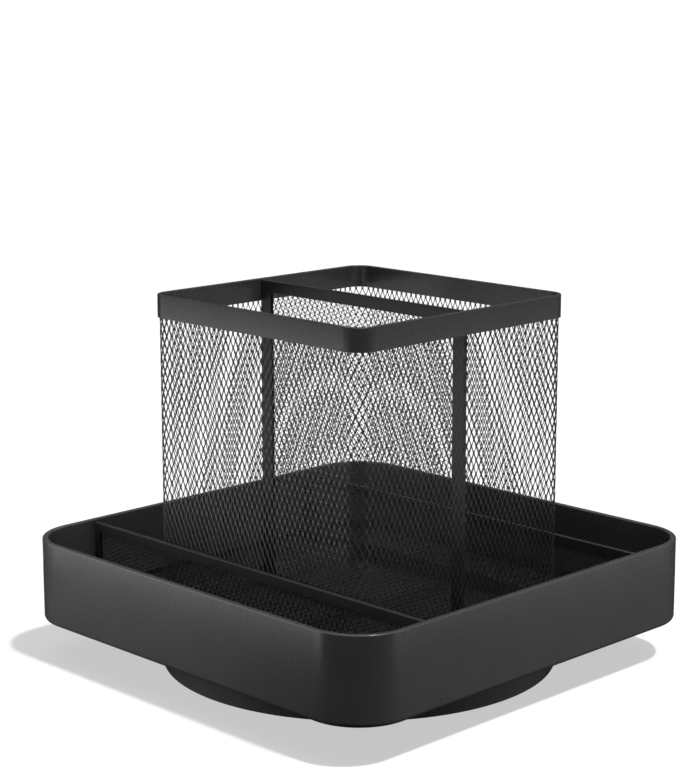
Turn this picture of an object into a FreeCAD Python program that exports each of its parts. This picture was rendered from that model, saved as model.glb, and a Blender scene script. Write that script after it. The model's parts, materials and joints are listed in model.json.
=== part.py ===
"""Rotating desk caddy: a square tray with a mesh pen cup on a ball-bearing turntable.

Frame: +Z up, +X along the tray's two long dividers.  The origin is the centre of the
foot pads' underside, on the spin axis.  All sizes are millimetres.
"""
import FreeCAD, Part
import math
import os

Vector = FreeCAD.Vector
UP = Vector(0, 0, 1)

# ---------------------------------------------------------------- driving sizes
# turntable base
pan_radius = 67.8            # outside radius of the round pan
pan_height = 7.0             # skirt edge to top face
pan_sheet = 1.0              # pan's sheet thickness
pan_corner_radius = 1.4      # rounding where the skirt turns into the top
foot_proud = 0.4             # how far the pads lift the skirt off the table
pad_radius = 7.0
pad_circle_radius = pan_radius - 13.8
bottom_plate_thickness = 1.0
bottom_plate_recess = 1.2    # skirt edge up to the plate's underside
bottom_plate_gap = 0.3       # between the plate's edge and the skirt
post_radius = 3.0
post_circle_radius = pan_radius - 13.8
base_screw_radius = 1.5
base_screw_head_radius = 2.8
base_screw_head_height = 0.7

# ball bearing
ball_radius = 2.0
ball_count = 16
ball_circle_radius = 38.0
race_outer_radius = ball_circle_radius + 9.0
race_inner_radius = 12.0
race_thickness = 1.6
race_gap = 2.2               # between the two races' flat faces
ball_clearance = 0.12        # between a ball and its groove
cage_thickness = 1.2
cage_width = 8.0
cage_pocket_clearance = 0.10
rivet_shank_radius = 1.6
rivet_head_radius = 2.6
rivet_head_height = 0.8
rivet_count = 4
lower_rivet_circle_radius = 20.0
upper_rivet_circle_radius = 29.0

# centre pivot
pivot_radius = 3.0
pivot_head_radius = 6.0
pivot_lower_head_height = 1.4
pivot_upper_head_height = 0.6
pivot_running_clearance = 0.05
bushing_wall = 1.6
bushing_flange_radius = 7.0
bushing_flange_thickness = 0.4
pivot_washer_thickness = 0.4
pivot_end_play = 0.06        # between the bushing's flange and the washer

# mounting plate between the bearing and the tray's floor
floor_screw_circle_radius = race_outer_radius + 6.74    # clears the races
floor_screw_spacing = math.sqrt(2) * floor_screw_circle_radius
mount_plate_side = floor_screw_spacing + 18.0
mount_plate_corner_radius = 14.0
mount_plate_thickness = 1.6
mount_plate_centre_hole_radius = 9.0
floor_screw_radius = 1.5
floor_screw_head_radius = 3.0
floor_screw_head_height = 1.5
floor_nut_across_flats = 5.5
floor_nut_height = 2.2
floor_screw_tail = 0.6       # thread showing below the nut
screw_hole_clearance = 0.15

# tray
tray_side = 165.0
tray_corner_radius = 19.0
band_height = 28.9
band_sheet = 0.9             # outer leaf; the wall is folded over double
band_fold_radius = 1.6       # outside radius of the bend under the band
band_flange_width = 7.0      # how far the bottom flange reaches in
hem_thickness = 2.0          # both leaves together
hem_depth = 24.0             # the inner leaf stops short of the floor
hem_rounding = 0.4
floor_thickness = 0.8
floor_edge_gap = 0.3

# pen cup
cup_side = 100.0
cup_corner_radius = 7.0
cup_height = 111.2           # tray floor to the cup's top
cup_mesh_thickness = 0.6
rim_height = 7.8
rim_thickness = 1.6
rim_rounding = 0.35
rim_slot_roof = 1.2          # solid above the slot that holds the mesh
channel_height = 5.0         # channel that holds the foot of the mesh
channel_slot_floor = 0.6
cup_divider_thickness = 1.4
cup_divider_frame_width = 4.2
cup_divider_end_width = 4.9
cup_divider_end_gap = 0.15
cup_divider_drop = 0.3

# tray dividers
divider_thickness = 1.4
divider_cup_gap = 0.5        # between a tray divider and the cup
divider_position = cup_side / 2 + divider_cup_gap + divider_thickness / 2
divider_drop = 0.8           # divider's top below the band's top
divider_end_gap = 0.2
divider_frame_width = 3.6
divider_end_width = 2.4
panel_thickness = 0.6        # mesh panel in any divider
panel_grip = 1.4             # how far a frame holds its panel
frame_rounding = 0.4

# ---------------------------------------------------------------- levels
pan_bottom = foot_proud
pan_top = pan_bottom + pan_height
bottom_plate_bottom = pan_bottom + bottom_plate_recess
bottom_plate_top = bottom_plate_bottom + bottom_plate_thickness
pan_ceiling = pan_top - pan_sheet
lower_race_top = pan_top + race_thickness
ball_level = lower_race_top + race_gap / 2
upper_race_bottom = lower_race_top + race_gap
upper_race_top = upper_race_bottom + race_thickness
floor_bottom = upper_race_top + mount_plate_thickness
floor_top = floor_bottom + floor_thickness
band_bottom = floor_bottom - band_sheet
band_top = band_bottom + band_height
divider_top = band_top - divider_drop
cup_top = floor_top + cup_height
rim_bottom = cup_top - rim_height


# ---------------------------------------------------------------- shape helpers
def cylinder(radius, bottom, height, x=0.0, y=0.0):
    return Part.makeCylinder(radius, height, Vector(x, y, bottom), UP)


def washer(outer_radius, inner_radius, bottom, height, x=0.0, y=0.0):
    disc = cylinder(outer_radius, bottom, height, x, y)
    return disc.cut(cylinder(inner_radius, bottom - 1, height + 2, x, y))


def centred_box(length_x, length_y, bottom, height, x=0.0, y=0.0):
    corner = Vector(x - length_x / 2, y - length_y / 2, bottom)
    return Part.makeBox(length_x, length_y, height, corner)


def upright_edges(shape):
    """The straight edges that run along Z."""
    return [edge for edge in shape.Edges
            if len(edge.Vertexes) == 2
            and abs(edge.Vertexes[0].X - edge.Vertexes[1].X) < 1e-6
            and abs(edge.Vertexes[0].Y - edge.Vertexes[1].Y) < 1e-6]


def edges_at(shape, level):
    """The edges that lie flat at one level."""
    return [edge for edge in shape.Edges
            if abs(edge.BoundBox.ZMin - level) < 1e-6
            and abs(edge.BoundBox.ZMax - level) < 1e-6]


def rounded_square(side, radius, bottom, height):
    block = centred_box(side, side, bottom, height)
    return block.makeFillet(radius, upright_edges(block))


def square_ring(side, radius, wall, bottom, height):
    """An upright band with rounded corners, 'wall' thick, inside the given outline."""
    outside = rounded_square(side, radius, bottom, height)
    inside = rounded_square(side - 2 * wall, radius - wall, bottom - 1, height + 2)
    return outside.cut(inside)


def polar_points(count, circle_radius, first_angle=0.0):
    """Points spread evenly on a circle; the angle is in degrees."""
    for index in range(count):
        angle = math.radians(first_angle + 360.0 * index / count)
        yield circle_radius * math.cos(angle), circle_radius * math.sin(angle)


def square_points(spacing):
    for sign_x in (-1, 1):
        for sign_y in (-1, 1):
            yield sign_x * spacing / 2, sign_y * spacing / 2


def hexagon(across_flats, bottom, height, x, y):
    corner_radius = across_flats / math.sqrt(3)
    corners = [Vector(x + px, y + py, bottom) for px, py in polar_points(6, corner_radius)]
    outline = Part.makePolygon(corners + corners[:1])
    return Part.Face(outline).extrude(Vector(0, 0, height))


def domed_head(radius, height, level, direction, x, y):
    """A low domed head that sits on 'level' and rises along direction (+1 or -1)."""
    sphere_radius = (radius ** 2 + height ** 2) / (2 * height)
    centre = Vector(x, y, level - direction * (sphere_radius - height))
    ball = Part.makeSphere(sphere_radius, centre)
    low = level if direction > 0 else level - height
    return ball.common(cylinder(radius + 1, low, height, x, y))


def ball_groove(level):
    return Part.makeTorus(ball_circle_radius, ball_radius + ball_clearance, Vector(0, 0, level), UP)


# ---------------------------------------------------------------- turntable base
def base_pan():
    """A shallow dish turned upside down, with the pivot and rivets through its top."""
    outside = cylinder(pan_radius, pan_bottom, pan_height)
    outside = outside.makeFillet(pan_corner_radius, edges_at(outside, pan_top))
    inner_radius = pan_radius - pan_sheet
    inside = cylinder(inner_radius, pan_bottom - 1, pan_height - pan_sheet + 1)
    inside = inside.makeFillet(pan_corner_radius - pan_sheet, edges_at(inside, pan_ceiling))
    pan = outside.cut(inside)
    pan = pan.cut(cylinder(pivot_radius, pan_bottom, pan_height + 1))
    for x, y in polar_points(rivet_count, lower_rivet_circle_radius):
        pan = pan.cut(cylinder(rivet_shank_radius, pan_bottom, pan_height + 1, x, y))
    return pan


def base_posts():
    """Short threaded posts under the pan's top; the bottom plate screws to them."""
    height = pan_ceiling - bottom_plate_top
    return [washer(post_radius, base_screw_radius, bottom_plate_top, height, x, y)
            for x, y in polar_points(4, post_circle_radius)]


def bottom_plate():
    radius = pan_radius - pan_sheet - bottom_plate_gap
    plate = cylinder(radius, bottom_plate_bottom, bottom_plate_thickness)
    for x, y in polar_points(4, post_circle_radius):
        hole = cylinder(base_screw_radius, bottom_plate_bottom - 1, bottom_plate_thickness + 2, x, y)
        plate = plate.cut(hole)
    return plate


def bottom_plate_screws():
    length = pan_ceiling - bottom_plate_bottom - 1.0
    screws = []
    for x, y in polar_points(4, post_circle_radius):
        head = domed_head(base_screw_head_radius, base_screw_head_height, bottom_plate_bottom, -1, x, y)
        shank = cylinder(base_screw_radius, bottom_plate_bottom, length, x, y)
        screws.append(head.fuse(shank).removeSplitter())
    return screws


def foot_pads():
    pads = []
    for x, y in polar_points(4, pad_circle_radius, first_angle=45.0):
        pad = cylinder(pad_radius, 0.0, bottom_plate_bottom, x, y)
        pads.append(pad.makeFillet(0.3, edges_at(pad, 0.0)))
    return pads


# ---------------------------------------------------------------- bearing and pivot
def race_blank(bottom, rivet_circle_radius, inner_radius):
    blank = washer(race_outer_radius, inner_radius, bottom, race_thickness)
    for x, y in polar_points(rivet_count, rivet_circle_radius):
        blank = blank.cut(cylinder(rivet_shank_radius, bottom - 1, race_thickness + 2, x, y))
    return blank.cut(ball_groove(ball_level))


def lower_race():
    return race_blank(pan_top, lower_rivet_circle_radius, race_inner_radius)


def upper_race():
    return race_blank(upper_race_bottom, upper_rivet_circle_radius, pivot_radius
                      + pivot_running_clearance + bushing_wall)


def rivets(circle_radius, bottom, top):
    """Rivets that clamp the stack between two levels, with a domed head on each side."""
    pieces = []
    for x, y in polar_points(rivet_count, circle_radius):
        rivet = cylinder(rivet_shank_radius, bottom, top - bottom, x, y)
        rivet = rivet.fuse(domed_head(rivet_head_radius, rivet_head_height, top, 1, x, y))
        rivet = rivet.fuse(domed_head(rivet_head_radius, rivet_head_height, bottom, -1, x, y))
        pieces.append(rivet.removeSplitter())
    return pieces


def lower_race_rivets():
    return rivets(lower_rivet_circle_radius, pan_ceiling, lower_race_top)


def upper_race_rivets():
    """Flush on the tray side, so that the floor lies flat on the plate."""
    pieces = []
    for x, y in polar_points(rivet_count, upper_rivet_circle_radius):
        rivet = cylinder(rivet_shank_radius, upper_race_bottom, floor_bottom - upper_race_bottom, x, y)
        head = domed_head(rivet_head_radius, rivet_head_height, upper_race_bottom, -1, x, y)
        pieces.append(rivet.fuse(head).removeSplitter())
    return pieces


def bearing_balls():
    return [Part.makeSphere(ball_radius, Vector(x, y, ball_level))
            for x, y in polar_points(ball_count, ball_circle_radius)]


def ball_cage():
    half = cage_width / 2
    cage = washer(ball_circle_radius + half, ball_circle_radius - half,
                  ball_level - cage_thickness / 2, cage_thickness)
    pocket_radius = ball_radius + cage_pocket_clearance
    for x, y in polar_points(ball_count, ball_circle_radius):
        cage = cage.cut(cylinder(pocket_radius, ball_level - cage_thickness, 2 * cage_thickness, x, y))
    return cage


def bushing_bore_radius():
    return pivot_radius + pivot_running_clearance


def pivot_bushing():
    """Flanged plastic bush pressed into the upper race."""
    outer_radius = bushing_bore_radius() + bushing_wall
    sleeve = cylinder(outer_radius, upper_race_bottom, race_thickness)
    flange = cylinder(bushing_flange_radius, upper_race_top, bushing_flange_thickness)
    bore = cylinder(bushing_bore_radius(), upper_race_bottom - 1, race_thickness + 4)
    return sleeve.fuse(flange).removeSplitter().cut(bore)


def pivot_washer_bottom():
    return upper_race_top + bushing_flange_thickness + pivot_end_play


def pivot_washer():
    return washer(pivot_head_radius, pivot_radius, pivot_washer_bottom(), pivot_washer_thickness)


def pivot_rivet():
    """The spin axis: a rivet through the pan, closed over the washer on top."""
    head_bottom = pivot_washer_bottom() + pivot_washer_thickness
    shank = cylinder(pivot_radius, pan_ceiling, head_bottom - pan_ceiling)
    lower_head = cylinder(pivot_head_radius, pan_ceiling - pivot_lower_head_height, pivot_lower_head_height)
    upper_head = cylinder(pivot_head_radius - 1.0, head_bottom, pivot_upper_head_height)
    return shank.fuse([lower_head, upper_head]).removeSplitter()


# ---------------------------------------------------------------- plate, floor and their screws
def mount_plate():
    plate = rounded_square(mount_plate_side, mount_plate_corner_radius, upper_race_top,
                           mount_plate_thickness)
    plate = plate.cut(cylinder(mount_plate_centre_hole_radius, upper_race_top - 1,
                               mount_plate_thickness + 2))
    for x, y in square_points(floor_screw_spacing):
        plate = plate.cut(cylinder(floor_screw_radius + screw_hole_clearance, upper_race_top - 1,
                                   mount_plate_thickness + 2, x, y))
    for x, y in polar_points(rivet_count, upper_rivet_circle_radius):
        plate = plate.cut(cylinder(rivet_shank_radius, upper_race_top - 1,
                                   mount_plate_thickness + 2, x, y))
    return plate


def tray_floor():
    """A flat sheet that lies on the band's flange and on the mounting plate."""
    side = tray_side - 2 * (band_sheet + floor_edge_gap)
    radius = tray_corner_radius - band_sheet - floor_edge_gap
    corner_cut = band_fold_radius - band_sheet
    sheet = rounded_square(side, radius, floor_bottom, floor_thickness)
    if corner_cut > floor_edge_gap:
        inset = corner_cut - floor_edge_gap
        sheet = rounded_square(side - 2 * inset, radius - inset, floor_bottom, floor_thickness)
    for x, y in square_points(floor_screw_spacing):
        sheet = sheet.cut(cylinder(floor_screw_radius + screw_hole_clearance, floor_bottom - 1,
                                   floor_thickness + 2, x, y))
    return sheet


def floor_screws():
    bottom = upper_race_top - floor_nut_height - floor_screw_tail
    screws = []
    for x, y in square_points(floor_screw_spacing):
        head = domed_head(floor_screw_head_radius, floor_screw_head_height, floor_top, 1, x, y)
        shank = cylinder(floor_screw_radius, bottom, floor_top - bottom, x, y)
        screws.append(head.fuse(shank).removeSplitter())
    return screws


def floor_nuts():
    nuts = []
    for x, y in square_points(floor_screw_spacing):
        nut = hexagon(floor_nut_across_flats, upper_race_top - floor_nut_height, floor_nut_height, x, y)
        bore = cylinder(floor_screw_radius, upper_race_top - floor_nut_height - 1,
                        floor_nut_height + 2, x, y)
        nuts.append(nut.cut(bore))
    return nuts


# ---------------------------------------------------------------- tray
def tray_band():
    """Bent sheet: a wall folded over double, and a flange turned in at the bottom."""
    outside = rounded_square(tray_side, tray_corner_radius, band_bottom, band_height)
    outside = outside.makeFillet(band_fold_radius, edges_at(outside, band_bottom))
    outside = outside.makeFillet(hem_rounding, edges_at(outside, band_top))
    inside = rounded_square(tray_side - 2 * band_sheet, tray_corner_radius - band_sheet,
                            floor_bottom, band_height)
    inside = inside.makeFillet(band_fold_radius - band_sheet, edges_at(inside, floor_bottom))
    opening_side = tray_side - 2 * band_flange_width
    opening = rounded_square(opening_side, tray_corner_radius - band_flange_width,
                             band_bottom - 1, band_height + 2)
    band = outside.cut([inside, opening])
    hem = square_ring(tray_side, tray_corner_radius, hem_thickness, band_top - hem_depth, hem_depth)
    hem = hem.makeFillet(hem_rounding, edges_at(hem, band_top))
    return band.fuse(hem).removeSplitter()


def divider_frame(length, thickness, bottom, top, end_width, edge_width, y):
    """A flat frame with a window, and a slot inside it for the mesh panel's edges."""
    frame = centred_box(length, thickness, bottom, top - bottom, y=y)
    frame = frame.makeFillet(frame_rounding, edges_at(frame, top))
    window = centred_box(length - 2 * end_width, thickness + 2, bottom + edge_width,
                         top - bottom - 2 * edge_width, y=y)
    slot = divider_panel(length, bottom, top, end_width, edge_width, y)
    return frame.cut([window, slot])


def divider_panel(length, bottom, top, end_width, edge_width, y):
    """The mesh panel as a plain sheet; the frame grips its edges."""
    return centred_box(length - 2 * end_width + 2 * panel_grip, panel_thickness,
                       bottom + edge_width - panel_grip,
                       top - bottom - 2 * edge_width + 2 * panel_grip, y=y)


def tray_divider_half_length():
    """Out to the wall's inner face, which curves in near the tray's corners."""
    corner_centre = tray_side / 2 - tray_corner_radius
    into_corner = max(0.0, divider_position + divider_thickness / 2 - corner_centre)
    corner_reach = math.sqrt((tray_corner_radius - hem_thickness) ** 2 - into_corner ** 2)
    return corner_centre + corner_reach - divider_end_gap


def tray_divider_size():
    return dict(length=2 * tray_divider_half_length(), bottom=floor_top, top=divider_top,
                end_width=divider_end_width, edge_width=divider_frame_width)


def tray_divider_frame(side):
    return divider_frame(thickness=divider_thickness, y=side * divider_position, **tray_divider_size())


def tray_divider_panel(side):
    return divider_panel(y=side * divider_position, **tray_divider_size())


# ---------------------------------------------------------------- pen cup
def mesh_inset():
    """From the cup's outer face in to the face of its mesh."""
    return (rim_thickness - cup_mesh_thickness) / 2


def cup_mesh():
    """The four-sided mesh sleeve as a plain thin sheet."""
    bottom = floor_top + channel_slot_floor
    top = cup_top - rim_slot_roof
    return square_ring(cup_side - 2 * mesh_inset(), cup_corner_radius - mesh_inset(),
                       cup_mesh_thickness, bottom, top - bottom)


def cup_rim():
    rim = square_ring(cup_side, cup_corner_radius, rim_thickness, rim_bottom, rim_height)
    rim = rim.makeFillet(rim_rounding, edges_at(rim, cup_top))
    return rim.cut(cup_mesh())


def cup_foot_channel():
    channel = square_ring(cup_side, cup_corner_radius, rim_thickness, floor_top, channel_height)
    return channel.cut(cup_mesh())


def cup_divider_size():
    length = cup_side - 2 * (rim_thickness + cup_divider_end_gap)
    return dict(length=length, bottom=floor_top, top=cup_top - cup_divider_drop,
                end_width=cup_divider_end_width, edge_width=cup_divider_frame_width)


def cup_divider_frame():
    return divider_frame(thickness=cup_divider_thickness, y=0.0, **cup_divider_size())


def cup_divider_panel():
    return divider_panel(y=0.0, **cup_divider_size())


# ---------------------------------------------------------------- output
def all_nodes():
    return {
        "base_pan": base_pan(),
        "base_posts": base_posts(),
        "bottom_plate": bottom_plate(),
        "bottom_plate_screws": bottom_plate_screws(),
        "foot_pads": foot_pads(),
        "lower_race": lower_race(),
        "lower_race_rivets": lower_race_rivets(),
        "pivot_rivet": pivot_rivet(),
        "pivot_washer": pivot_washer(),
        "ball_cage": ball_cage(),
        "bearing_balls": bearing_balls(),
        "upper_race": upper_race(),
        "upper_race_rivets": upper_race_rivets(),
        "pivot_bushing": pivot_bushing(),
        "mount_plate": mount_plate(),
        "tray_floor": tray_floor(),
        "floor_screws": floor_screws(),
        "floor_nuts": floor_nuts(),
        "tray_band": tray_band(),
        "front_divider_frame": tray_divider_frame(-1),
        "front_divider_mesh": tray_divider_panel(-1),
        "back_divider_frame": tray_divider_frame(1),
        "back_divider_mesh": tray_divider_panel(1),
        "cup_mesh": cup_mesh(),
        "cup_rim": cup_rim(),
        "cup_foot_channel": cup_foot_channel(),
        "cup_divider_frame": cup_divider_frame(),
        "cup_divider_mesh": cup_divider_panel(),
    }


def export(name, shape):
    """Write one STEP file; a list of solids becomes one group of separate solids."""
    if isinstance(shape, list):
        shape = Part.makeCompound(shape)
    if not shape.isValid() or not shape.Solids:
        raise ValueError(name + " is not a valid solid")
    shape.exportStep(os.path.join("parts", name + ".step"))
    print("%-22s solids %2d  volume %9.1f mm3" % (name, len(shape.Solids), shape.Volume))


os.makedirs("parts", exist_ok=True)
for node_name, node_shape in all_nodes().items():
    export(node_name, node_shape)
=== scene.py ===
"""Looks for the rotating desk caddy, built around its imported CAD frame.  Metres throughout."""
import json
import math

import bpy
import numpy as np
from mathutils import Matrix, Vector

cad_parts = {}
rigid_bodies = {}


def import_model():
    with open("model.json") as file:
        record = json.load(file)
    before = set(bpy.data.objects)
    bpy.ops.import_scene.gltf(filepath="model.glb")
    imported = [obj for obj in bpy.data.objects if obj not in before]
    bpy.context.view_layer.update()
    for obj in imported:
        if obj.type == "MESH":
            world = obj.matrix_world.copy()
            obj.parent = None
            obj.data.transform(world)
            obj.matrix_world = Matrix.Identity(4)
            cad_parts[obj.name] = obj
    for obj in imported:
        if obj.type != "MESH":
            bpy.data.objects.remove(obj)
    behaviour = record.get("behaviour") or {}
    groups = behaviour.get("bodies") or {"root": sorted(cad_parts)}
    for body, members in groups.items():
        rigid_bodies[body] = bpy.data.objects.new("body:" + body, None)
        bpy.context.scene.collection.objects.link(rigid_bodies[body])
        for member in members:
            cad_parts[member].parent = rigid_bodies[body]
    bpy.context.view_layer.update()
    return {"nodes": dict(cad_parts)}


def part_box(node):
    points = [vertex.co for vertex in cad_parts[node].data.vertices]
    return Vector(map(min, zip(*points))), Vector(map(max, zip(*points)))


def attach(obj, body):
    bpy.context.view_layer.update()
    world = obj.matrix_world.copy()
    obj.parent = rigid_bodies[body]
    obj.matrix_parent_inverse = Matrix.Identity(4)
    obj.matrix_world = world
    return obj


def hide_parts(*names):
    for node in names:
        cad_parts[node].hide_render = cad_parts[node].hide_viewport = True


MM = 0.001

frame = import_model()
nodes = frame["nodes"]
scene = bpy.context.scene


# ---------------------------------------------------------------- materials
def new_material(name):
    """A material with its node tree and its one shader."""
    material = bpy.data.materials.new(name)
    material.use_nodes = True
    tree = material.node_tree
    shader = tree.nodes["Principled BSDF"]
    return material, tree, shader


def grain(tree, size_mm, detail=2.0, roughness=0.5):
    """A noise whose features are about size_mm across, in the object's own space."""
    place = tree.nodes.new("ShaderNodeTexCoord")
    noise = tree.nodes.new("ShaderNodeTexNoise")
    noise.inputs["Scale"].default_value = 1.0 / (size_mm * MM)
    noise.inputs["Detail"].default_value = detail
    noise.inputs["Roughness"].default_value = roughness
    tree.links.new(place.outputs["Object"], noise.inputs["Vector"])
    return noise.outputs["Fac"]


def spread(tree, source, low, high, from_low=0.3, from_high=0.7):
    """Stretches a 0 to 1 signal over a range of values."""
    node = tree.nodes.new("ShaderNodeMapRange")
    node.inputs["From Min"].default_value = from_low
    node.inputs["From Max"].default_value = from_high
    node.inputs["To Min"].default_value = low
    node.inputs["To Max"].default_value = high
    tree.links.new(source, node.inputs["Value"])
    return node.outputs["Result"]


def tint(tree, source, dark, light):
    """A colour between dark and light, by a 0 to 1 signal."""
    node = tree.nodes.new("ShaderNodeMix")
    node.data_type = "RGBA"
    node.inputs["A"].default_value = (*dark, 1.0)
    node.inputs["B"].default_value = (*light, 1.0)
    tree.links.new(source, node.inputs["Factor"])
    return node.outputs["Result"]


def bump(tree, shader, height, distance_mm, strength, under=None):
    """Relief from a height signal, on top of any relief under it."""
    node = tree.nodes.new("ShaderNodeBump")
    node.inputs["Distance"].default_value = distance_mm * MM
    node.inputs["Strength"].default_value = strength
    tree.links.new(height, node.inputs["Height"])
    if under is not None:
        tree.links.new(under, node.inputs["Normal"])
    tree.links.new(node.outputs["Normal"], shader.inputs["Normal"])
    return node.outputs["Normal"]


def powder_coat(name, dark, light, rough_low, rough_high, shine=0.35, peel_mm=2.2):
    """Baked black powder coat: even colour, satin, with a faint orange peel and fine grain."""
    material, tree, shader = new_material(name)
    shader.inputs["Specular IOR Level"].default_value = shine
    cloud = spread(tree, grain(tree, 14.0), 0.0, 1.0)
    tree.links.new(tint(tree, cloud, dark, light), shader.inputs["Base Color"])
    fine = grain(tree, 0.35, detail=1.0)
    tree.links.new(spread(tree, fine, rough_low, rough_high), shader.inputs["Roughness"])
    peel = bump(tree, shader, grain(tree, peel_mm, detail=1.0), 0.008, 0.4)
    bump(tree, shader, fine, 0.0015, 0.4, under=peel)
    return material


def metal(name, colour, rough_low, rough_high, grain_mm=0.5):
    """Bare or plated metal, a little cloudy and finely grained."""
    material, tree, shader = new_material(name)
    shader.inputs["Metallic"].default_value = 1.0
    cloud = spread(tree, grain(tree, 5.0), 0.0, 1.0)
    darker = tuple(0.82 * channel for channel in colour)
    tree.links.new(tint(tree, cloud, darker, colour), shader.inputs["Base Color"])
    fine = grain(tree, grain_mm)
    tree.links.new(spread(tree, fine, rough_low, rough_high), shader.inputs["Roughness"])
    bump(tree, shader, fine, 0.004, 0.4)
    return material


def moulded(name, dark, light, rough_low, rough_high, grain_mm):
    """Moulded nylon or rubber with a fine texture."""
    material, tree, shader = new_material(name)
    cloud = spread(tree, grain(tree, 3.0), 0.0, 1.0)
    tree.links.new(tint(tree, cloud, dark, light), shader.inputs["Base Color"])
    fine = grain(tree, grain_mm)
    tree.links.new(spread(tree, fine, rough_low, rough_high), shader.inputs["Roughness"])
    bump(tree, shader, fine, 0.02, 0.5)
    return material


# the same black coat, glossier on the outer sheet and duller on the inner pieces; the inner pieces
# are also painted darker, painted shade on the tray floor, the divider frames and the mesh strands
coat = powder_coat("black_powder_coat", (0.033, 0.033, 0.034), (0.037, 0.037, 0.038), 0.24, 0.29)
# far darker base colour than the outer coat: painted shade on the tray floor and its screws, down
# inside the bins
shaded_floor_coat = powder_coat("dull_inside_painted_shade_coat", (0.006, 0.006, 0.007), (0.009, 0.009, 0.010), 0.62, 0.70,
                        shine=0.12)
# darker base colour than the outer coat: painted shade on the divider frames
shaded_frame_coat = powder_coat("inner_frame_painted_shade_coat", (0.014, 0.014, 0.015), (0.018, 0.018, 0.019), 0.34, 0.42,
                         shine=0.25)
# darker base colour than the outer coat: painted shade on the mesh strands
shaded_wire_coat = powder_coat("black_mesh_painted_shade_coat", (0.012, 0.012, 0.013), (0.017, 0.017, 0.018), 0.34, 0.42,
                        shine=0.4, peel_mm=0.4)
plate_paint = powder_coat("matt_plate_paint", (0.022, 0.022, 0.024), (0.032, 0.032, 0.034), 0.55, 0.7)
zinc = metal("zinc_plate", (0.62, 0.62, 0.59), 0.28, 0.42)
bright_steel = metal("bright_rivet_steel", (0.56, 0.56, 0.57), 0.22, 0.36, grain_mm=0.3)
ball_steel = metal("polished_ball_steel", (0.78, 0.78, 0.80), 0.06, 0.12, grain_mm=0.8)
nylon = moulded("natural_nylon", (0.72, 0.70, 0.62), (0.80, 0.78, 0.71), 0.42, 0.55, 0.8)
rubber = moulded("black_rubber", (0.016, 0.016, 0.016), (0.026, 0.026, 0.026), 0.72, 0.86, 0.4)

CAD_FINISHES = {
    coat: ["base_pan", "mount_plate", "tray_band", "cup_rim", "cup_foot_channel"],
    # the divider frames and the tray floor take the darker coats, painted shade
    shaded_frame_coat: ["front_divider_frame", "back_divider_frame", "cup_divider_frame"],
    shaded_floor_coat: ["tray_floor", "floor_screws"],
    plate_paint: ["bottom_plate"],
    zinc: ["base_posts", "bottom_plate_screws", "lower_race", "upper_race", "floor_nuts"],
    bright_steel: ["lower_race_rivets", "upper_race_rivets", "pivot_rivet", "pivot_washer"],
    ball_steel: ["bearing_balls"],
    nylon: ["ball_cage", "pivot_bushing"],
    rubber: ["foot_pads"],
}
for finish, names in CAD_FINISHES.items():
    for node_name in names:
        node = nodes[node_name]
        node.data.materials.clear()
        node.data.materials.append(finish)


# ---------------------------------------------------------------- expanded metal
class Pattern:
    """The diamond pattern of one expanded sheet, in mm: its pitches, its strand's width, the bond
    where strands meet, the sheet's gauge and how far the strands twist out of the sheet."""

    def __init__(self, short_pitch, long_pitch, strand, bond, gauge, twist):
        self.short = short_pitch * MM
        self.long = long_pitch * MM
        self.gauge = gauge * MM
        self.twist = twist * MM
        half_short, half_long = self.short / 2, self.long / 2
        half_strand = strand * MM / 2
        run = math.hypot(half_short, half_long)
        bond = bond * MM
        side = half_short - (half_strand * run + bond * half_short / 2) / half_long
        tip = half_long - half_strand * run / half_short
        self.hole = np.array([(0, tip), (side, bond / 2), (side, -bond / 2),
                              (0, -tip), (-side, -bond / 2), (-side, bond / 2)])


def expanded_sheet(name, pattern, columns, rows, place):
    """A sheet of diamonds.  columns and rows count half pitches along the short and the long way;
    place(short, long, out) turns sheet coordinates into points."""
    cells = [(a, b) for a in range(columns[0], columns[1]) for b in range(rows[0], rows[1])
             if (a + b) % 2 == 0]
    centres = np.array([(a * pattern.short / 2, b * pattern.long / 2) for a, b in cells])
    knots = {}
    points = []

    def knot(a, b):
        if (a, b) not in knots:
            knots[(a, b)] = len(points)
            points.append((a * pattern.short / 2, b * pattern.long / 2, 0.0))
        return knots[(a, b)]

    lean = (0.0, -1.0, -1.0, 0.0, 1.0, 1.0)
    faces = []
    for (a, b), (x, y) in zip(cells, centres):
        top, right = knot(a, b + 1), knot(a + 1, b)
        bottom, left = knot(a, b - 1), knot(a - 1, b)
        first = len(points)
        points.extend((x + px, y + py, pattern.twist * side)
                      for (px, py), side in zip(pattern.hole, lean))
        tip, upper_right, lower_right, foot, lower_left, upper_left = range(first, first + 6)
        faces += [(top, tip, upper_right, right), (right, upper_right, lower_right),
                  (right, lower_right, foot, bottom), (bottom, foot, lower_left, left),
                  (left, lower_left, upper_left), (left, upper_left, tip, top)]
    points = np.array(points)
    placed = place(points[:, 0], points[:, 1], points[:, 2])
    mesh = bpy.data.meshes.new(name)
    mesh.from_pydata(placed.tolist(), [], faces)
    # the strands take the darker coat, painted shade
    mesh.materials.append(shaded_wire_coat)
    sheet = bpy.data.objects.new(name, mesh)
    scene.collection.objects.link(sheet)
    thick = sheet.modifiers.new("gauge", "SOLIDIFY")
    thick.thickness = pattern.gauge
    thick.offset = 0.0
    return sheet


def finish_sheet(sheet, node):
    """The sheet turns with the organizer and stands for a CAD node."""
    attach(sheet, "organizer")
    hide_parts(node)


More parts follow.
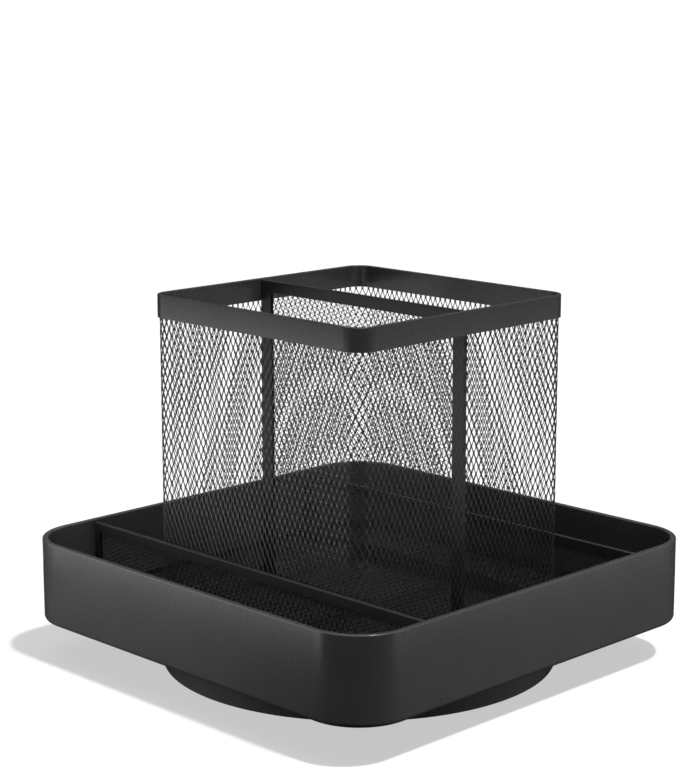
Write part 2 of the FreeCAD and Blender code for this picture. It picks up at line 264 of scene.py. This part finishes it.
def round_square_walk(distance, side, radius):
    """Points and outward normals of a rounded square, by distance walked from the middle of +X."""
    straight = side - 2 * radius
    corner = math.pi / 2 * radius
    quarter = straight + corner
    walked = np.mod(distance, 4 * quarter)
    turn = np.floor(walked / quarter)
    local = walked - turn * quarter
    on_first = local <= straight / 2
    on_corner = (local > straight / 2) & (local < straight / 2 + corner)
    angle = np.where(on_first, 0.0, np.where(on_corner, (local - straight / 2) / radius, math.pi / 2))
    centre = side / 2 - radius
    x = centre + radius * np.cos(angle)
    y = centre + radius * np.sin(angle)
    y = np.where(on_first, local, y)
    x = np.where(local >= straight / 2 + corner, quarter - local, x)
    spin = turn * math.pi / 2
    points = np.stack([x * np.cos(spin) - y * np.sin(spin), x * np.sin(spin) + y * np.cos(spin)], 1)
    facing = angle + spin
    return points, np.stack([np.cos(facing), np.sin(facing)], 1)


SLEEVE_THICKNESS = 0.6 * MM     # of the sheet that the diamonds replace
SLEEVE_CORNER = 6.2 * MM        # radius at the middle of the sheet
CUP_SHORT_PITCH = 2.4 * MM      # about; a whole number of diamonds goes round the cup


def build_cup_mesh():
    """The cup's sleeve: one pattern wrapped round the rounded square, in four pieces."""
    low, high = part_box("cup_mesh")
    side = high.x - low.x - SLEEVE_THICKNESS
    radius = SLEEVE_CORNER
    around = 4 * (side - 2 * radius) + 2 * math.pi * radius
    per_wall = round(around / 4 / CUP_SHORT_PITCH)
    short_pitch = around / 4 / per_wall / MM
    pattern = Pattern(short_pitch, long_pitch=4.86, strand=0.265, bond=0.9, gauge=0.13, twist=-0.07)
    rows = int((high.z - low.z) / pattern.long * 2)
    names = ("right", "back", "left", "front")

    def place(short, long, out):
        points, normals = round_square_walk(short, side, radius)
        points = points + normals * out[:, None]
        return np.column_stack([points, low.z + long])

    for wall, word in enumerate(names):
        start = 2 * per_wall * wall - per_wall
        sheet = expanded_sheet("cup_mesh_" + word, pattern, (start, start + 2 * per_wall),
                               (1, rows), place)
        finish_sheet(sheet, "cup_mesh")


PANEL_EDGE = 0.3 * MM           # between a divider's panel and its first strand
FINE = Pattern(short_pitch=1.45, long_pitch=3.25, strand=0.15, bond=0.5, gauge=0.08, twist=0.03)


def build_divider_mesh(node):
    """A divider's panel: finer mesh, its diamonds lying along X."""
    low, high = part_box(node)
    middle = (low.y + high.y) / 2
    left = low.x + PANEL_EDGE
    foot = low.z + PANEL_EDGE
    columns = int((high.z - low.z - 2 * PANEL_EDGE) / FINE.short * 2)
    rows = int((high.x - low.x - 2 * PANEL_EDGE) / FINE.long * 2)

    def place(short, long, out):
        return np.column_stack([left + long, middle - out, foot + short])

    finish_sheet(expanded_sheet(node + "_sheet", FINE, (1, columns), (1, rows), place), node)


build_cup_mesh()
for divider_node in ("front_divider_mesh", "back_divider_mesh", "cup_divider_mesh"):
    build_divider_mesh(divider_node)


# ---------------------------------------------------------------- camera, floor and light
FLOOR_GREY = 0.08
FLOOR_GLOW = 0.555
WALL_GLOW = 1.05
SUN_WAY = (-0.456, -0.032, -1.0)    # the way its light travels
SUN_SOFTNESS = 4.0                  # degrees
CADDY_SUN = 2.4
FLOOR_SUN = 18.0
SKY = [                             # direction, strength, sharpness
    ((0, 0, 1), 3.0, 4.0),          # overhead
    ((1, -1, 0.5), 0.1, 2.0),       # in front
    ((-1, -1, -0.7), 0.07, 4.0),    # low beyond the left side
    ((1, 1, -0.7), 0.25, 4.0),      # low beyond the right side
]
CARD_DISTANCE = 0.08
CARDS = [   # azimuth, the point it faces, width, bottom, top, brightness
    (0.0, (-0.120, -0.0825), 0.29, 0.007, 0.088, 3.5),
    (90.0, (0.0825, 0.110), 0.29, 0.008, 0.085, 1.35),
    (180.0, (-0.06, 0.0825), 0.20, 0.004, 0.050, 2.0),
    (270.0, (-0.0825, 0.06), 0.20, 0.004, 0.050, 2.0),
]


def look_from(azimuth, elevation, distance, target):
    """Camera place for an azimuth seen from -Y towards +X, in degrees."""
    a, e = math.radians(azimuth), math.radians(elevation)
    away = Vector((math.sin(a) * math.cos(e), -math.cos(a) * math.cos(e), math.sin(e)))
    return target + away * distance


def add_camera():
    """A long lens a little above the tray, facing the corner between +X and -Y."""
    data = bpy.data.cameras.new("camera")
    camera = bpy.data.objects.new("camera", data)
    scene.collection.objects.link(camera)
    target = Vector((0, 0, 0.0950))
    camera.location = look_from(45.04, 11.43, 0.6914, target)
    camera.rotation_euler = (target - camera.location).to_track_quat("-Z", "Y").to_euler()
    data.sensor_fit = "HORIZONTAL"
    data.sensor_width = 36.0
    data.lens = 108.2
    data.shift_x = -0.029
    data.clip_start = 0.01
    data.clip_end = 100
    scene.camera = camera


def add_floor():
    """A wide pale floor that glows a little and throws no light on the caddy."""
    bpy.ops.mesh.primitive_plane_add(size=60, location=(0, 0, 0))
    floor = bpy.context.object
    floor.name = "floor"
    material, _, shader = new_material("pale_floor")
    shader.inputs["Base Color"].default_value = (FLOOR_GREY, FLOOR_GREY, FLOOR_GREY, 1)
    shader.inputs["Emission Color"].default_value = (1, 1, 1, 1)
    shader.inputs["Emission Strength"].default_value = FLOOR_GLOW
    shader.inputs["Roughness"].default_value = 0.9
    shader.inputs["Specular IOR Level"].default_value = 0.1
    floor.data.materials.append(material)
    floor.visible_diffuse = False
    floor.visible_glossy = False


def add_backdrop():
    """A plain white wall far round the caddy, which only the camera sees."""
    bpy.ops.mesh.primitive_cylinder_add(vertices=96, radius=9, depth=20, end_fill_type="NOTHING")
    wall = bpy.context.object
    wall.name = "backdrop"
    material, _, shader = new_material("white_backdrop")
    shader.inputs["Base Color"].default_value = (0, 0, 0, 1)
    shader.inputs["Emission Color"].default_value = (1, 1, 1, 1)
    shader.inputs["Emission Strength"].default_value = WALL_GLOW
    wall.data.materials.append(material)
    wall.visible_diffuse = False
    wall.visible_glossy = False
    wall.visible_transmission = False
    wall.visible_shadow = False


def add_card(name, azimuth, facing, width, low, high, brightness):
    """An upright softbox between two heights, facing a point at the tray's side, that lights
    the caddy and not the floor."""
    light = bpy.data.lights.new(name, "AREA")
    light.shape = "RECTANGLE"
    light.size = width
    light.size_y = high - low
    light.energy = brightness * math.pi * width * (high - low)
    card = bpy.data.objects.new(name, light)
    scene.collection.objects.link(card)
    target = Vector((*facing, (low + high) / 2))
    card.location = look_from(azimuth, 0.0, CARD_DISTANCE, target)
    card.rotation_euler = (target - card.location).to_track_quat("-Z", "Y").to_euler()
    card.visible_camera = False
    card.light_linking.receiver_collection = lit_group("caddy_only")


def lit_group(name):
    """The meshes a light is allowed to light: the floor alone, or everything but the floor."""
    if name not in bpy.data.collections:
        group = bpy.data.collections.new(name)
        for piece in scene.objects:
            if piece.type == "MESH" and (piece.name == "floor") == (name == "floor_only"):
                group.objects.link(piece)
    return bpy.data.collections[name]


def add_sun(group, strength):
    """The sun as one group of meshes sees it."""
    light = bpy.data.lights.new(group, "SUN")
    light.energy = strength
    light.angle = math.radians(SUN_SOFTNESS)
    lamp = bpy.data.objects.new(group, light)
    scene.collection.objects.link(lamp)
    lamp.rotation_euler = Vector(SUN_WAY).to_track_quat("-Z", "Y").to_euler()
    lamp.light_linking.receiver_collection = lit_group(group)


def add_lobe(tree, direction, strength, sharpness):
    """Light that comes mostly from one direction, as strength x max(0, cosine) ^ sharpness."""
    place = tree.nodes.new("ShaderNodeTexCoord")
    dot = tree.nodes.new("ShaderNodeVectorMath")
    dot.operation = "DOT_PRODUCT"
    dot.inputs[1].default_value = Vector(direction).normalized()
    tree.links.new(place.outputs["Generated"], dot.inputs[0])
    clip = tree.nodes.new("ShaderNodeMath")
    clip.operation = "MAXIMUM"
    clip.inputs[1].default_value = 0.0
    tree.links.new(dot.outputs["Value"], clip.inputs[0])
    shape = tree.nodes.new("ShaderNodeMath")
    shape.operation = "POWER"
    shape.inputs[1].default_value = sharpness
    tree.links.new(clip.outputs["Value"], shape.inputs[0])
    scale = tree.nodes.new("ShaderNodeMath")
    scale.operation = "MULTIPLY"
    scale.inputs[1].default_value = strength
    tree.links.new(shape.outputs["Value"], scale.inputs[0])
    return scale.outputs["Value"]


def add_world():
    """A plain studio, brighter from chosen sides."""
    world = bpy.data.worlds.new("studio")
    scene.world = world
    world.use_nodes = True
    tree = world.node_tree
    light = None
    for direction, strength, sharpness in SKY:
        lobe = add_lobe(tree, direction, strength, sharpness)
        if light is None:
            light = lobe
            continue
        add = tree.nodes.new("ShaderNodeMath")
        add.operation = "ADD"
        tree.links.new(light, add.inputs[0])
        tree.links.new(lobe, add.inputs[1])
        light = add.outputs["Value"]
    back = tree.nodes["Background"]
    back.inputs["Color"].default_value = (1, 1, 1, 1)
    tree.links.new(light, back.inputs["Strength"])


add_camera()
add_floor()
add_backdrop()
add_world()
add_sun("caddy_only", CADDY_SUN)
add_sun("floor_only", FLOOR_SUN)
for number, card in enumerate(CARDS):
    add_card("card_%d" % number, *card)
scene.view_settings.view_transform = "Standard"
